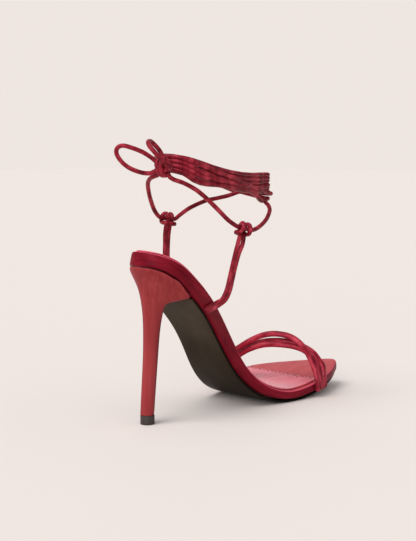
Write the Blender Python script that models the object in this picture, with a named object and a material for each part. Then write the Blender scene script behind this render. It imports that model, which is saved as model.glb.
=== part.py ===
# Lace up heeled sandal, the left shoe.
# Metres, +Z up. The toe points along -Y and the outer side of the foot is +X.
# The origin is the centre of the heel tip's face on the floor.

from math import cos, pi, radians, sin, sqrt

import bmesh
import bpy
import numpy as np
from mathutils import Vector

# Clearance between pieces that touch
GAP = 0.0003

# Last and footbed
INSOLE_LENGTH = 0.2570     # along the top of the footbed, rear to toe
SEAT_HEIGHT = 0.1230       # top of the footbed at its rear end
SEAT_OVERHANG = 0.0080     # rear end of the footbed behind the heel tip
BALL_WIDTH = 0.0795
TOE_SPRING = radians(10.3)
RIM_AT_SHANK = 0.0118      # thickness of the wrapped footbed
RIM_AT_BALL = 0.0073
RIM_ROUND = 0.0016         # rounding of the rim's top edge
RIM_CHAMFER = 0.0009
SEAT_ROUND = 0.030         # length of the rounded rear end
SEAT_FULLNESS = 2.2        # 2 is an ellipse, more is squarer
TOE_CORNER = 0.0035        # radius of the corners of the toe

STATION_STEP = 0.035       # between sections of the sole's layers, share of its length

# Sock lining
SOCK_THICK = 0.0010
SOCK_INSET = 0.0030
SOCK_FRONT = 0.815         # share of the insole length

# Outsole
OUTSOLE_THICK = 0.0022
OUTSOLE_INSET = 0.0016
OUTSOLE_CHAMFER = 0.0005
TREAD_DIP = 0.0008         # flattened off under the ball, where it stands

# Heel
BREAST_STATION = 0.178     # share of the insole length
HEEL_INSET = 0.0006        # behind the edge of the rim
STEM_RADIUS = 0.0051
STEM_LEAN = 0.0048         # how far the stem's top lies ahead of its foot
STEM_TOP = 0.068
TIP_HEIGHT = 0.0065

# Vamp straps, satin tubes
STRAP_DIAMETER = 0.0044
STRAP_FOOT_WIDTH = 0.0054
STRAP_FOOT_THICK = 0.0022
STRAP_PITCH = 0.0046       # from one foot to the next along the rim
STRAP_BLEND = 0.0100       # from the flat foot to the round tube
STRAP_TUCK = 0.45          # top of the flat foot over the rim's edge, share of the rim
STRAP_SECTIONS = 36        # along one strap
RIM_CLEARANCE = 0.0005     # from the rim to a flat foot, which keeps straight between sections
VAMP_RISE = 0.0345         # height of the tallest strap over its feet
VAMP_OUTER = 0.662         # station of the first outer foot, share of the insole length
VAMP_INNER = 0.797         # station of the first inner foot

# Side loops and laces
CORD_DIAMETER = 0.0032
LOOP_FOOT_THICK = 0.0024
LOOP_STATION = 0.240       # share of the insole length, at the lower edge of the rim
LOOP_SLANT = 0.0075        # how far forward the cords lie at the top of the rim
LOOP_SECTIONS = 16         # along one cord of a loop
LOOP_PITCH = 0.92          # between the two cords of a loop, in cord diameters
HITCH_TURN = 0.0064        # width of one lump of the hitch
HITCH_PITCH = 0.94         # between its two lumps, in lump widths

# Ankle wrap
WRAP_REAR = 0.0185         # ahead of the heel tip
WRAP_LENGTH = 0.1115
WRAP_REAR_ROUND = 0.0140   # length of the rounded end at the heel
WRAP_FRONT_ROUND = 0.0036  # length of the fold at the front
WRAP_HALF_WIDTH = 0.0170
WRAP_TOP = 0.1884          # height of its top turn at the rear
WRAP_DROP = 0.0329         # from there down to its lowest turn at the front

# Shape of the last along the top of the footbed.
# share: of the insole length. drop: share of the steepest slope of the shank.
# spring: share of the toe spring. inner, outer: half widths, share of the ball width.
# rim: 0 for the thickness at the shank, 1 for the thickness at the ball.
LAST_COLUMNS = ("share", "drop", "spring", "inner", "outer", "rim")
LAST_ROWS = (
    (0.00, 0.18, 0.0, 0.255, 0.235, 0.36),
    (0.06, 0.45, 0.0, 0.280, 0.250, 0.26),
    (0.12, 0.68, 0.0, 0.298, 0.262, 0.15),
    (0.20, 0.71, 0.0, 0.312, 0.280, 0.0),
    (0.24, 0.715, 0.0, 0.300, 0.290, 0.0),
    (0.32, 0.82, 0.0, 0.256, 0.300, 0.0),
    (0.38, 0.925, 0.0, 0.236, 0.312, 0.05),
    (0.44, 1.00, 0.0, 0.238, 0.328, 0.15),
    (0.50, 0.965, 0.0, 0.258, 0.352, 0.35),
    (0.56, 0.765, 0.0, 0.304, 0.374, 0.6),
    (0.61, 0.475, 0.0, 0.365, 0.392, 0.8),
    (0.66, 0.23, 0.0, 0.414, 0.422, 1.0),
    (0.70, 0.05, 0.2, 0.436, 0.455, 1.0),
    (0.74, 0.00, 0.7, 0.452, 0.497, 1.0),
    (0.80, 0.00, 1.0, 0.466, 0.530, 1.0),
    (0.84, 0.00, 1.0, 0.456, 0.520, 1.0),
    (0.88, 0.00, 0.95, 0.425, 0.390, 1.0),
    (0.92, 0.00, 0.9, 0.382, 0.237, 1.0),
    (0.96, 0.00, 0.9, 0.318, 0.056, 1.0),
    (1.00, 0.00, 0.9, 0.250, -0.126, 1.0),
)

# Flare of the heel, between the stem's top (0) and the seat (1).
FLARE_COLUMNS = ("rear", "corner", "front", "half", "rear_level", "front_level")
FLARE_ROWS = (
    (0.06, 0.13, 0.09, 0.064, 0.25, 0.41),
    (0.22, 0.23, 0.52, 0.15, 0.466, 0.705),
    (0.40, 0.333, 0.80, 0.28, 0.67, 0.855),
    (0.60, 0.60, 0.95, 0.58, 0.85, 0.915),
)

# Stem of the heel: level from its foot to its top, radius as a share of the
# stem radius, lean as a share of the stem lean.
STEM_COLUMNS = ("level", "radius", "lean")
STEM_ROWS = (
    (0.00, 1.00, 0.00),
    (0.35, 1.05, 0.37),
    (0.70, 1.08, 0.78),
    (1.00, 1.22, 1.00),
)

# Vamp straps. across: share of the way from the outer to the inner foot.
# lead: ahead of the straight line between the feet, share of the rise.
# rise: share of the vamp rise.
STRAP_COLUMNS = ("across", "lead", "rise")
STRAP_REAR_ROWS = (
    (0.010, 0.0, 0.15),
    (0.045, 0.0, 0.33),
    (0.11, 0.0, 0.50),
    (0.22, 0.0, 0.67),
    (0.33, 0.0, 0.83),
    (0.44, 0.0, 0.95),
    (0.55, 0.0, 1.00),
    (0.66, 0.0, 0.985),
    (0.75, 0.0, 0.92),
    (0.83, 0.0, 0.79),
    (0.89, 0.0, 0.63),
    (0.935, 0.0, 0.44),
    (0.97, 0.0, 0.25),
)
STRAP_MIDDLE_ROWS = (
    (0.010, 0.0, 0.13),
    (0.04, 0.0, 0.25),
    (0.10, -0.03, 0.36),
    (0.20, -0.07, 0.48),
    (0.31, -0.10, 0.62),
    (0.43, -0.11, 0.72),
    (0.55, -0.11, 0.75),
    (0.66, -0.10, 0.735),
    (0.75, -0.07, 0.70),
    (0.83, -0.04, 0.61),
    (0.89, -0.01, 0.50),
    (0.94, 0.0, 0.36),
    (0.975, 0.0, 0.20),
)
STRAP_FRONT_ROWS = (
    (0.010, 0.0, 0.13),
    (0.04, 0.0, 0.26),
    (0.10, -0.03, 0.39),
    (0.20, -0.08, 0.53),
    (0.31, -0.12, 0.67),
    (0.43, -0.15, 0.78),
    (0.55, -0.17, 0.81),
    (0.66, -0.18, 0.80),
    (0.76, -0.15, 0.775),
    (0.85, -0.07, 0.70),
    (0.92, 0.0, 0.55),
    (0.965, 0.0, 0.36),
    (0.99, 0.0, 0.19),
)

# Ankle wrap before its ends are rounded. along: share of its length. half: share of its
# half width. The others: how far down its top and low turns lie on the inner and the
# outer side of the ankle, share of the wrap's drop.
WRAP_COLUMNS = ("along", "half", "inner_top", "inner_low", "outer_top", "outer_low")
WRAP_ROWS = (
    (0.00, 0.74, 0.00, 0.286, 0.00, 0.286),
    (0.06, 0.81, 0.05, 0.377, 0.00, 0.288),
    (0.12, 0.87, 0.10, 0.544, 0.00, 0.292),
    (0.19, 0.95, 0.165, 0.644, 0.01, 0.30),
    (0.30, 1.00, 0.26, 0.678, 0.04, 0.34),
    (0.44, 0.95, 0.34, 0.754, 0.145, 0.59),
    (0.60, 0.78, 0.407, 0.869, 0.304, 0.69),
    (0.76, 0.54, 0.43, 0.951, 0.42, 0.857),
    (0.90, 0.30, 0.43, 0.991, 0.43, 0.936),
    (1.00, 0.17, 0.42, 1.00, 0.42, 1.00),
)
WRAP_STOPS = (0.0, 0.004, 0.016, 0.04, 0.08, 0.15, 0.24, 0.34, 0.46, 0.60, 0.76, 0.90,
              0.972, 0.991, 1.0)

# Turns of the lace round the ankle: level at the rear and at the front, from 0 for the
# top turn to 1 for the low one, and how far it lies outside the others, in diameters.
TURN_COLUMNS = ("rear_level", "front_level", "out")
TURN_ROWS = (
    (0.0, 0.0, 0.00),
    (0.2, 0.2, 0.25),
    (0.4, 0.4, 0.00),
    (0.6, 0.6, 0.25),
    (0.8, 0.8, 0.00),
    (1.0, 1.0, 0.25),
    (0.05, 0.9, 0.95),
)

# Ends of the line that a lace takes through each hitch
HITCH_INNER = ((-0.0291, -0.0624, 0.1383), (-0.0323, -0.0746, 0.1351))
HITCH_OUTER = ((0.0270, -0.0403, 0.1435), (0.0250, -0.0531, 0.1419))

# Cords of the side loops between the rim and the hitch
LOOP_INNER_ROUTE = (
    (-0.0268, -0.0530, 0.0875),
    (-0.0270, -0.0572, 0.0980),
    (-0.0280, -0.0600, 0.1090),
    (-0.0290, -0.0625, 0.1185),
    (-0.0300, -0.0650, 0.1260),
)
LOOP_OUTER_ROUTE = (
    (0.0245, -0.0445, 0.1060),
    (0.0250, -0.0443, 0.1145),
    (0.0255, -0.0450, 0.1235),
    (0.0258, -0.0458, 0.1315),
)

# Routes of the laces, from the bow through the hitch to the front of the wrap
LACE_INNER_ROUTE = (
    (-0.0105, -0.0120, 0.1735),
    (-0.0140, -0.0140, 0.1720),
    (-0.0172, -0.0205, 0.1695),
    (-0.0195, -0.0295, 0.1650),
    (-0.0215, -0.0355, 0.1605),
    (-0.0240, -0.0405, 0.1555),
    (-0.0265, -0.0465, 0.1495),
    (-0.0281, -0.0540, 0.1430),
    (-0.0291, -0.0624, 0.1383),
    (-0.0307, -0.0685, 0.1367),
    (-0.0323, -0.0746, 0.1351),
    (-0.0318, -0.0830, 0.1368),
    (-0.0288, -0.0940, 0.1408),
    (-0.0238, -0.1040, 0.1448),
    (-0.0180, -0.1125, 0.1485),
    (-0.0120, -0.1180, 0.1512),
    (-0.0074, -0.1212, 0.1525),
)
LACE_OUTER_ROUTE = (
    (0.0015, -0.0115, 0.1750),
    (0.0045, -0.0115, 0.1740),
    (0.0095, -0.0128, 0.1724),
    (0.0148, -0.0160, 0.1688),
    (0.0195, -0.0215, 0.1620),
    (0.0235, -0.0280, 0.1545),
    (0.0260, -0.0340, 0.1480),
    (0.0270, -0.0403, 0.1435),
    (0.0260, -0.0467, 0.1427),
    (0.0250, -0.0531, 0.1419),
    (0.0245, -0.0580, 0.1446),
    (0.0220, -0.0666, 0.1499),
    (0.0150, -0.0758, 0.1550),
    (0.0085, -0.0831, 0.1572),
    (0.0030, -0.0884, 0.1590),
    (-0.0030, -0.0932, 0.1617),
    (-0.0068, -0.0970, 0.1632),
)

# Bow at the back of the ankle
BOW_KNOT = (-0.0050, -0.0118, 0.1810)
BOW_KNOT_HALF = (0.0072, 0.0056, 0.0078)
KNOT_CLEARANCE = 0.0007    # from the knot to the middle of a cord's end
BOW_OUTER_ROUTE = (
    (-0.0005, -0.0080, 0.1862),
    (0.0015, -0.0055, 0.1882),
    (0.0040, -0.0010, 0.1910),
    (0.0080, 0.0055, 0.1940),
    (0.0120, 0.0105, 0.1955),
    (0.0145, 0.0132, 0.1938),
    (0.0150, 0.0135, 0.1900),
    (0.0137, 0.0107, 0.1850),
    (0.0120, 0.0065, 0.1812),
    (0.0100, 0.0020, 0.1787),
    (0.0065, -0.0030, 0.1768),
    (0.0030, -0.0070, 0.1765),
    (0.0002, -0.0090, 0.1772),
)
BOW_INNER_ROUTE = (
    (-0.0138, -0.0100, 0.1795),
    (-0.0150, -0.0080, 0.1815),
    (-0.0138, -0.0020, 0.1855),
    (-0.0118, 0.0025, 0.1905),
    (-0.0080, 0.0040, 0.1950),
    (-0.0035, 0.0010, 0.1978),
    (0.0000, -0.0045, 0.1985),
    (0.0005, -0.0090, 0.1962),
    (-0.0018, -0.0112, 0.1925),
    (-0.0038, -0.0114, 0.1895),
)


def column(rows, columns, name):
    """Values of one named column of a table."""
    place = columns.index(name)
    return np.array([row[place] for row in rows])


def named_rows(rows, columns):
    """Rows of a table as values by column name."""
    return [dict(zip(columns, row)) for row in rows]


def smooth(knots, values, at):
    """Smooth curve through the values at the knots."""
    slopes = np.gradient(values, knots)
    index = int(np.clip(np.searchsorted(knots, at, side="right") - 1, 0, len(knots) - 2))
    span = knots[index + 1] - knots[index]
    t = (at - knots[index]) / span
    start = values[index] * (1 + 2 * t) * (1 - t) ** 2
    end = values[index + 1] * t * t * (3 - 2 * t)
    lean = slopes[index] * t * (1 - t) ** 2 - slopes[index + 1] * t * t * (1 - t)
    return start + end + lean * span


def last_value(name, share):
    shares = column(LAST_ROWS, LAST_COLUMNS, "share")
    return float(smooth(shares, column(LAST_ROWS, LAST_COLUMNS, name), share))


def spot(ahead, side, height):
    """Point from its distance ahead of the heel tip, to the outer side and up."""
    return Vector((side, -ahead, height))


class Last:
    """Line along the middle of the top of the footbed, and its widths."""

    steps = 500

    def __init__(self):
        self.shares = np.linspace(0.0, 1.0, self.steps + 1)
        self.drops = np.array([last_value("drop", s) for s in self.shares])
        self.springs = np.array([last_value("spring", s) for s in self.shares])
        blend = np.array([last_value("rim", s) for s in self.shares])
        self.rims = RIM_AT_SHANK + (RIM_AT_BALL - RIM_AT_SHANK) * np.clip(blend, 0.0, 1.0)
        low, high = radians(20), radians(85)
        for _ in range(50):
            steepest = (low + high) / 2
            self.lay(steepest)
            if self.lowest() > -TREAD_DIP:
                low = steepest
            else:
                high = steepest

    def lay(self, steepest):
        """Run the line down from the seat with this steepest slope."""
        self.slopes = TOE_SPRING * self.springs - steepest * self.drops
        step = INSOLE_LENGTH / self.steps
        middle = (self.slopes[1:] + self.slopes[:-1]) / 2
        self.aheads = -SEAT_OVERHANG + step * np.concatenate(([0.0], np.cumsum(np.cos(middle))))
        self.heights = SEAT_HEIGHT + step * np.concatenate(([0.0], np.cumsum(np.sin(middle))))

    def lowest(self):
        under = self.rims + GAP + OUTSOLE_THICK
        return float(np.min(self.heights - under * np.cos(self.slopes)))

    def rim(self, share):
        return float(np.interp(share, self.shares, self.rims))

    def point(self, share, side, up):
        """Point at a share of the length, to a side and up from the footbed's top."""
        ahead = float(np.interp(share, self.shares, self.aheads))
        height = float(np.interp(share, self.shares, self.heights))
        slope = float(np.interp(share, self.shares, self.slopes))
        return spot(ahead - up * sin(slope), side, height + up * cos(slope))

    def half_width(self, name, share, inset):
        """Half width at a share of the length, drawn in from the edge by the inset."""
        step = 0.004
        here = last_value(name, share) * BALL_WIDTH
        change = (last_value(name, min(share + step, 1)) - last_value(name, max(share - step, 0)))
        run = (min(share + step, 1) - max(share - step, 0)) * INSOLE_LENGTH
        half = here - inset * sqrt(1 + (change * BALL_WIDTH / run) ** 2)
        from_rear = (share * INSOLE_LENGTH - inset) / (SEAT_ROUND - inset)
        if from_rear < 1:
            left = 1 - max(from_rear, 0.004)
            half *= (1 - left ** SEAT_FULLNESS) ** (1 / SEAT_FULLNESS)
        to_toe = INSOLE_LENGTH - inset - share * INSOLE_LENGTH
        if to_toe < TOE_CORNER:
            left = TOE_CORNER - max(to_toe, 0)
            half -= TOE_CORNER - sqrt(TOE_CORNER ** 2 - left ** 2)
        return half


def stations(first, last, inset, rounded_rear, rounded_toe):
    """Shares of the length where a body along the last has its sections."""
    shares = []
    start = first
    if rounded_rear:
        rear_round = (SEAT_ROUND - inset) / INSOLE_LENGTH
        start = inset / INSOLE_LENGTH + rear_round
        for step in (0.0, 0.03, 0.09, 0.18, 0.33, 0.55, 0.78):
            shares.append(inset / INSOLE_LENGTH + step * rear_round)
    stop = last
    if rounded_toe:
        end = 1 - inset / INSOLE_LENGTH
        stop = end - TOE_CORNER / INSOLE_LENGTH
    shares.append(start)
    for index in range(int(1 / STATION_STEP)):
        share = index * STATION_STEP
        if start + STATION_STEP / 4 < share < stop - STATION_STEP / 4:
            shares.append(share)
    shares.append(stop)
    if rounded_toe:
        for step in (0.45, 0.8, 1.0):
            shares.append(stop + (end - stop) * step)
    return shares


def loft(name, rings):
    """Closed solid through rings of as many points each, capped at both ends."""
    mesh = bmesh.new()
    loops = [[mesh.verts.new(point) for point in ring] for ring in rings]
    count = len(loops[0])
    for before, after in zip(loops, loops[1:]):
        for index in range(count):
            following = (index + 1) % count
            mesh.faces.new((before[index], before[following], after[following], after[index]))
    mesh.faces.new(list(reversed(loops[0])))
    mesh.faces.new(loops[-1])
    return finish_mesh(name, mesh)


def finish_mesh(name, mesh):
    """Object from a mesh, with its faces pointing out and soft where they are round."""
    bmesh.ops.recalc_face_normals(mesh, faces=mesh.faces)
    if mesh.calc_volume(signed=True) < 0:
        bmesh.ops.reverse_faces(mesh, faces=mesh.faces)
    data = bpy.data.meshes.new(name)
    mesh.to_mesh(data)
    mesh.free()
    data.shade_smooth()
    data.set_sharp_from_angle(angle=radians(40))
    item = bpy.data.objects.new(name, data)
    bpy.context.scene.collection.objects.link(item)
    return item


def sole_section(inner, outer, top, low, rounding, chamfer):
    """Outline across a sole layer: side and height of each point, top first."""
    reach = min(rounding, 0.4 * (inner + outer))
    cut = min(chamfer, 0.3 * (inner + outer))
    soft = 0.293 * reach
    third = (inner + outer) / 3
    return [
        (-inner, top - reach),
        (-inner + soft, top - soft),
        (-inner + reach, top),
        (-inner + third, top),
        (outer - third, top),
        (outer - reach, top),
        (outer - soft, top - soft),
        (outer, top - reach),
        (outer, low + cut),
        (outer - cut, low),
        (outer - third, low),
        (-inner + third, low),
        (-inner + cut, low),
        (-inner, low + cut),
    ]


def sole_layer(name, last, shares, inset, layer_top, layer_low, rounding, chamfer):
    """Layer of the sole, with its top and underside given for each share."""
    rings = []
    for share in shares:
        inner = last.half_width("inner", share, inset)
        outer = last.half_width("outer", share, inset)
        top = layer_top(share)
        low = layer_low(share)
        ring = []
        for side, up in sole_section(inner, outer, top, low, rounding, chamfer):
            point = last.point(share, side, up)
            point.z = max(point.z, 0.0)
            ring.append(point)
        rings.append(ring)
    return loft(name, rings)


def make_footbed(last):
    shares = stations(0, 1, 0, True, True)
    return sole_layer("footbed", last, shares, 0.0, lambda share: 0.0,
                      lambda share: -last.rim(share), RIM_ROUND, RIM_CHAMFER)


def make_sock(last):
    shares = stations(0, SOCK_FRONT, SOCK_INSET, True, False)
    return sole_layer("sock", last, shares, SOCK_INSET, lambda share: GAP + SOCK_THICK,
                      lambda share: GAP, SOCK_THICK * 0.4, SOCK_THICK * 0.2)


def make_outsole(last):
    first = BREAST_STATION + GAP / INSOLE_LENGTH
    shares = stations(first, 1, OUTSOLE_INSET, False, True)
    return sole_layer("outsole", last, shares, OUTSOLE_INSET,
                      lambda share: -last.rim(share) - GAP,
                      lambda share: -last.rim(share) - GAP - OUTSOLE_THICK,
                      OUTSOLE_CHAMFER, OUTSOLE_CHAMFER)


def arc_angles(count):
    return [-pi / 2 + pi * index / (count - 1) for index in range(count)]


def seat_ring(last, drop):
    """Outline of the heel under the footbed, from the inner corner round the rear."""
    ring = []
    for angle in arc_angles(17):
        share = BREAST_STATION * (1 - cos(angle)) + 0.0005
        name = "outer" if angle > 0 else "inner"
        half = last.half_width(name, share, 0.0) - HEEL_INSET
        side = half if angle > 0 else -half
        if abs(angle) < 0.01:
            side = 0.0
        under = -last.rim(share) - GAP
        plumb = last.point(share, side, under) - spot(0, 0, drop)
        ring.append(plumb.lerp(last.point(share, side, under - drop), abs(sin(angle))))
    inner, outer = ring[0], ring[-1]
    for step in (0.2, 0.4, 0.6, 0.8):
        ring.append(outer.lerp(inner, step))
    return ring


def flare_ring(rear, corner, front, inner, outer, rear_height, front_height):
    """Outline across the heel: a rounded rear, corners and a breast."""
    ring = []
    places = []
    for angle in arc_angles(17):
        half = outer if angle > 0 else inner
        places.append((corner - (corner - rear) * cos(angle), half * sin(angle)))
    for step in (0.2, 0.4, 0.6, 0.8):
        angle = pi / 2 - pi * step
        half = outer if angle > 0 else inner
        places.append((corner + front * cos(angle), half * sin(angle)))
    reach = corner + front - rear
    for ahead, side in places:
        level = (ahead - rear) / reach
        ring.append(spot(ahead, side, rear_height + (front_height - rear_height) * level))
    return ring


def make_heel(last):
    seat = seat_ring(last, 0.0)
    lip = seat_ring(last, OUTSOLE_THICK)
    seat_rear = -lip[8].y
    seat_corner = -lip[0].y
    foot = TIP_HEIGHT + GAP
    rings = []
    for row in named_rows(STEM_ROWS, STEM_COLUMNS):
        middle = STEM_LEAN * row["lean"]
        top_half = STEM_RADIUS * row["radius"]
        height = foot + (STEM_TOP - foot) * row["level"]
        rings.append(flare_ring(middle - top_half, middle, top_half, top_half, top_half,
                                height, height))
    top_rear = STEM_LEAN - top_half
    for share in named_rows(FLARE_ROWS, FLARE_COLUMNS):
        rings.append(flare_ring(
            top_rear + (seat_rear - top_rear) * share["rear"],
            STEM_LEAN + (seat_corner - STEM_LEAN) * share["corner"],
            top_half * (1 - share["front"]),
            top_half + (-lip[0].x - top_half) * share["half"],
            top_half + (lip[16].x - top_half) * share["half"],
            STEM_TOP + (lip[8].z - STEM_TOP) * share["rear_level"],
            STEM_TOP + (lip[0].z - STEM_TOP) * share["front_level"]))
    rings.append(lip)
    rings.append(seat)
    return loft("heel", rings)


def make_heel_tip():
    mesh = bmesh.new()
    bmesh.ops.create_cone(mesh, cap_ends=True, segments=20, radius1=STEM_RADIUS,
                          radius2=STEM_RADIUS, depth=TIP_HEIGHT)
    bmesh.ops.translate(mesh, verts=mesh.verts, vec=(0, 0, TIP_HEIGHT / 2))
    return finish_mesh("heel_tip", mesh)


def curve_points(route, count):
    """Even points on a smooth curve through the points of a route."""
    places = np.array([tuple(point) for point in route])
    steps = np.linalg.norm(np.diff(places, axis=0), axis=1)
    knots = np.concatenate(([0.0], np.cumsum(steps)))
    fine = np.linspace(0.0, knots[-1], 400)
    line = np.array([[smooth(knots, places[:, axis], at) for axis in range(3)] for at in fine])
    run = np.concatenate(([0.0], np.cumsum(np.linalg.norm(np.diff(line, axis=0), axis=1))))
    even = np.linspace(0.0, run[-1], count)
    return [Vector([np.interp(at, run, line[:, axis]) for axis in range(3)]) for at in even]


def tube_rings(points, widths, thicks, across, sides, closed=False):
    """Oval rings along a line of points; the width lies along the across direction."""
    rings = []
    last_index = len(points) - 1
    for index, point in enumerate(points):
        before = points[index - 1] if closed or index else points[0]
        after = points[(index + 1) % len(points)] if closed or index < last_index else points[-1]
        along = (after - before).normalized()
        wide = (across - along * across.dot(along)).normalized()
        deep = along.cross(wide)
        ring = []
        for step in range(sides):
            angle = 2 * pi * (step + 0.5) / sides
            ring.append(point + wide * (widths[index] / 2 * cos(angle))
                        + deep * (thicks[index] / 2 * sin(angle)))
        rings.append(ring)
    return rings


def closed_tube(name, points, diameter, across, sides):
    """Tube that runs round to its own start."""
    size = [diameter] * len(points)
    rings = tube_rings(points, size, size, across, sides, closed=True)
    mesh = bmesh.new()
    loops = [[mesh.verts.new(point) for point in ring] for ring in rings]
    for index, before in enumerate(loops):
        after = loops[(index + 1) % len(loops)]
        for side in range(sides):
            following = (side + 1) % sides
            mesh.faces.new((before[side], before[following], after[following], after[side]))
    return finish_mesh(name, mesh)


def ring_solid(name, middle, axis, radius, half_axial, half_radial):
    """Turned ring with an oval section, such as one turn of a hitch."""
    axis = axis.normalized()
    first = axis.orthogonal().normalized()
    second = axis.cross(first)
    mesh = bmesh.new()
    loops = []
    for turn in range(12):
        angle = 2 * pi * turn / 12
        out = first * cos(angle) + second * sin(angle)
        loop = []
        for step in range(6):
            part = 2 * pi * step / 6
            loop.append(mesh.verts.new(middle + out * (radius + half_radial * cos(part))
                                       + axis * (half_axial * sin(part))))
        loops.append(loop)
    for index, before in enumerate(loops):
        after = loops[(index + 1) % len(loops)]
        for side in range(6):
            following = (side + 1) % 6
            mesh.faces.new((before[side], before[following], after[following], after[side]))
    return finish_mesh(name, mesh)


def join_solids(main, others):
    """Union of a solid and the solids that it touches."""
    for other in others:
        other.hide_render = True
        other.display_type = "WIRE"
        union = main.modifiers.new("join_" + other.name, "BOOLEAN")
        union.operation = "UNION"
        union.solver = "EXACT"
        union.object = other
    return main


def rim_foot(last, name, share, slant, thick, above):
    """Points of a strap down over the rim, from above its edge to its lower edge."""
    sign = 1 if name == "outer" else -1
    rim = last.rim(share)
    route = []
    for up in (above, -0.5, -1.0):
        at = share + slant / INSOLE_LENGTH * (1 + up)
        side = last.half_width(name, at, 0.0) + RIM_CLEARANCE + thick / 2
        route.append(last.point(at, sign * side, up * rim))
    return route


def flat_share(points, index, pressed):
    """How flat a tube is at a point: 1 where it is pressed to the rim, then less."""
    run = (points[1] - points[0]).length * index
    return min(1.0, max(0.0, 1 - (run - pressed) / STRAP_BLEND))


def make_strap(last, name, order, rows):
    """One satin tube of the vamp, from the outer edge of the sole to the inner."""
    step = STRAP_PITCH * order / INSOLE_LENGTH
    start = rim_foot(last, "outer", VAMP_OUTER + step, 0.0, STRAP_FOOT_THICK, STRAP_TUCK)
    end = rim_foot(last, "inner", VAMP_INNER + step, 0.0, STRAP_FOOT_THICK, STRAP_TUCK)
    low, high = start[0], end[0]
    arch = []
    for row in named_rows(rows, STRAP_COLUMNS):
        point = low.lerp(high, row["across"])
        arch.append(point + spot(row["lead"] * VAMP_RISE, 0.0, row["rise"] * VAMP_RISE))
    route = list(reversed(start)) + arch + end
    points = curve_points(route, STRAP_SECTIONS)
    widths = []
    thicks = []
    for index in range(len(points)):
        flat = flat_share(points, min(index, len(points) - 1 - index), RIM_AT_BALL)
        widths.append(STRAP_DIAMETER + (STRAP_FOOT_WIDTH - STRAP_DIAMETER) * flat)
        thicks.append(STRAP_DIAMETER + (STRAP_FOOT_THICK - STRAP_DIAMETER) * flat)
    rings = tube_rings(points, widths, thicks, spot(1, 0, 0), 8)
    return loft(name, rings)


def make_upper(last):
    rear = make_strap(last, "upper", 0, STRAP_REAR_ROWS)
    middle = make_strap(last, "strap_middle", 1, STRAP_MIDDLE_ROWS)
    front = make_strap(last, "strap_front", 2, STRAP_FRONT_ROWS)
    return join_solids(rear, [middle, front])


def make_side_loop(last, name, edge, route, hitch):
    """Doubled cord from the rim up to its hitch, which the lace runs through."""
    start, end = Vector(hitch[0]), Vector(hitch[1])
    middle = (start + end) / 2
    axis = (end - start).normalized()
    bore = CORD_DIAMETER / 2 + GAP
    radius = bore + CORD_DIAMETER / 2
    half_turn = HITCH_TURN / 2
    lumps = []
    for sign in (-1, 1):
        place = middle + axis * (sign * half_turn * HITCH_PITCH)
        lumps.append(ring_solid(name + "_lump", place, axis, radius, half_turn,
                                CORD_DIAMETER / 2))
    cords = []
    for sign in (-1, 1):
        shift = CORD_DIAMETER * LOOP_PITCH / 2 * sign
        share = LOOP_STATION + shift / INSOLE_LENGTH
        foot = rim_foot(last, edge, share, LOOP_SLANT, LOOP_FOOT_THICK, 0.0)
        line = list(reversed(foot))
        for place in route:
            line.append(Vector(place) + axis * shift)
        line.append(middle + axis * shift + Vector((0, 0, -radius)))
        points = curve_points(line, LOOP_SECTIONS)
        widths = [CORD_DIAMETER] * len(points)
        thicks = []
        for index in range(len(points)):
            flat = flat_share(points, index, RIM_AT_SHANK + CORD_DIAMETER)
            thicks.append(CORD_DIAMETER + (LOOP_FOOT_THICK - CORD_DIAMETER) * flat)
        rings = tube_rings(points, widths, thicks, axis, 8)
        cords.append(loft(name if sign < 0 else name + "_cord", rings))
    return join_solids(cords[0], [cords[1]] + lumps)


def wrap_value(name, along):
    knots = column(WRAP_ROWS, WRAP_COLUMNS, "along")
    return float(smooth(knots, column(WRAP_ROWS, WRAP_COLUMNS, name), along))


def wrap_round(along):
    """How far the two sides of the wrap have come apart: 0 at its ends, then 1."""
    from_rear = min(1.0, along * WRAP_LENGTH / WRAP_REAR_ROUND)
    from_front = min(1.0, (1 - along) * WRAP_LENGTH / WRAP_FRONT_ROUND)
    return sqrt(1 - (1 - from_rear) ** 2) * sqrt(1 - (1 - from_front) ** 2)


def make_turn(name, turn):
    """One turn of the lace round the ankle, folded sharply at the front."""
    route = []
    for edge, sign, order in (("inner", -1, WRAP_STOPS), ("outer", 1, WRAP_STOPS[-2:0:-1])):
        for along in order:
            half = wrap_value("half", along) * WRAP_HALF_WIDTH * wrap_round(along)
            apart = min(1.0, half / CORD_DIAMETER)
            width = half + turn["out"] * CORD_DIAMETER * apart
            reach = turn["out"] * CORD_DIAMETER * (2 * along - 1) * (1 - apart)
            level = turn["rear_level"] + (turn["front_level"] - turn["rear_level"]) * along
            top = wrap_value(edge + "_top", along)
            low = wrap_value(edge + "_low", along)
            height = WRAP_TOP - WRAP_DROP * (top + (low - top) * level)
            route.append(spot(WRAP_REAR + along * WRAP_LENGTH + reach, sign * width, height))
    return closed_tube(name, route, CORD_DIAMETER, Vector((0, 0, 1)), 6)


def make_wrap():
    turns = []
    for order, turn in enumerate(named_rows(TURN_ROWS, TURN_COLUMNS)):
        name = "ankle_wrap" if order == 0 else "turn_%d" % order
        turns.append(make_turn(name, turn))
    return join_solids(turns[0], turns[1:])


def knot_start(toward):
    """First two points of a cord that comes straight off the knot towards a point."""
    middle = Vector(BOW_KNOT)
    way = Vector(toward) - middle
    share = sqrt(sum((way[axis] / BOW_KNOT_HALF[axis]) ** 2 for axis in range(3)))
    start = middle + way / share + way.normalized() * KNOT_CLEARANCE
    return [start, start + way.normalized() * CORD_DIAMETER / 2]


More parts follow.
